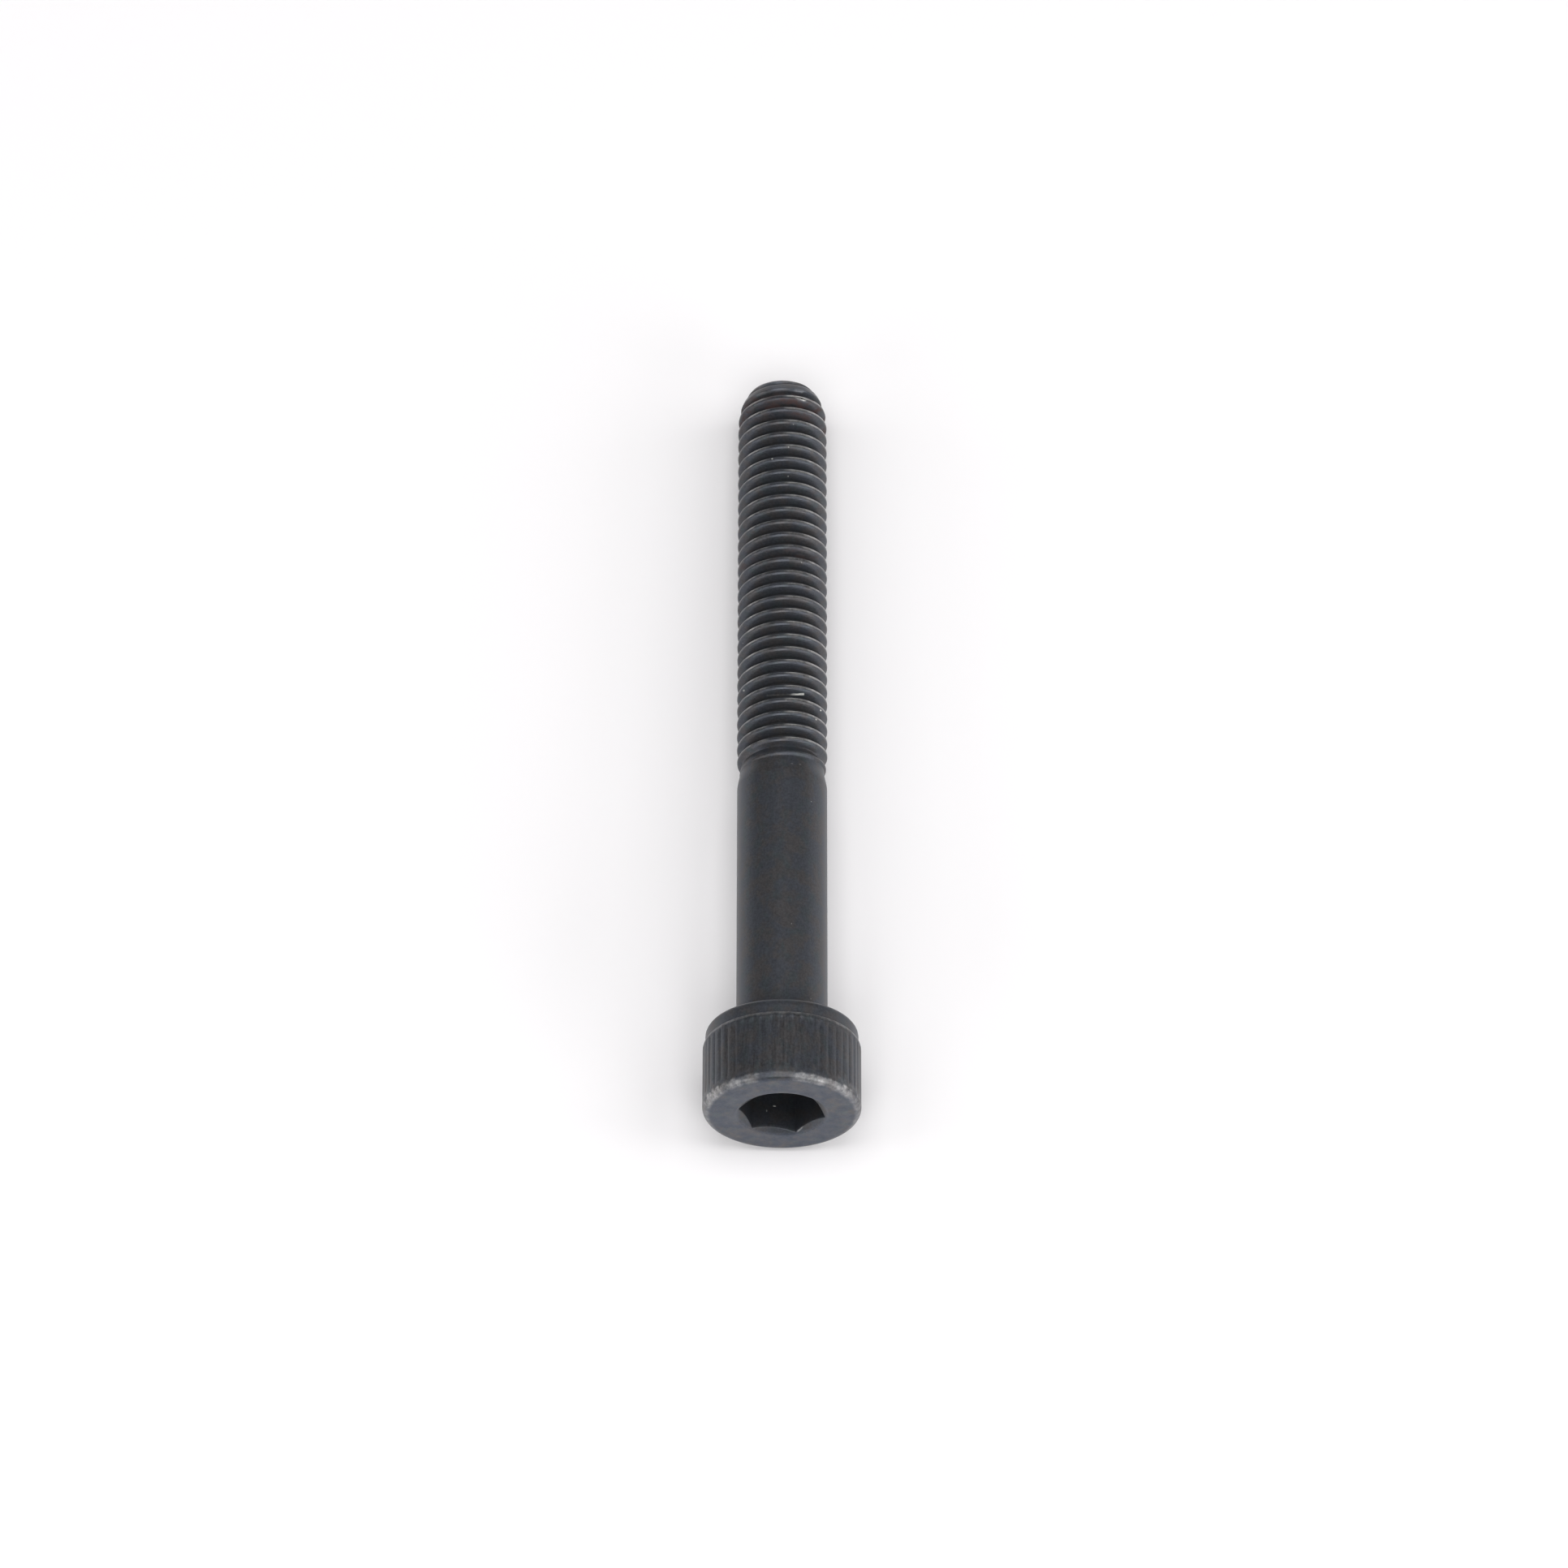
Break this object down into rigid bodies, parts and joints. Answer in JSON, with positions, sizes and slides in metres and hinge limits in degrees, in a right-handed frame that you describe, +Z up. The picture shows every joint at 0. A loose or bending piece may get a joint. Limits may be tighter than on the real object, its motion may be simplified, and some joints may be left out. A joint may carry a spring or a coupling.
{
  "type": "socket head cap screw",
  "caption": "Socket head cap screw in black-oxide steel: round head with a straight knurl and a hexagon socket, plain shank, and a right-hand metric thread.",
  "frame": {"origin": "centre of the bounding box at floor level, under the screw as it lies at rest", "axes": "+Z up from the floor; the screw's axis lies along Y, head towards -Y and tip towards +Y, dipping 2.53 degrees towards the tip because the head is wider than the thread; +X to the right as seen from the head"},
  "size_m": [0.0084, 0.0446, 0.0085],
  "materials": {
    "black_steel": "satin black oxide over cold-headed steel, worn bright on the rim of the head"
  },
  "bodies": {
    "root": {"cap_screw": "black_steel"}
  },
  "joints": []
}
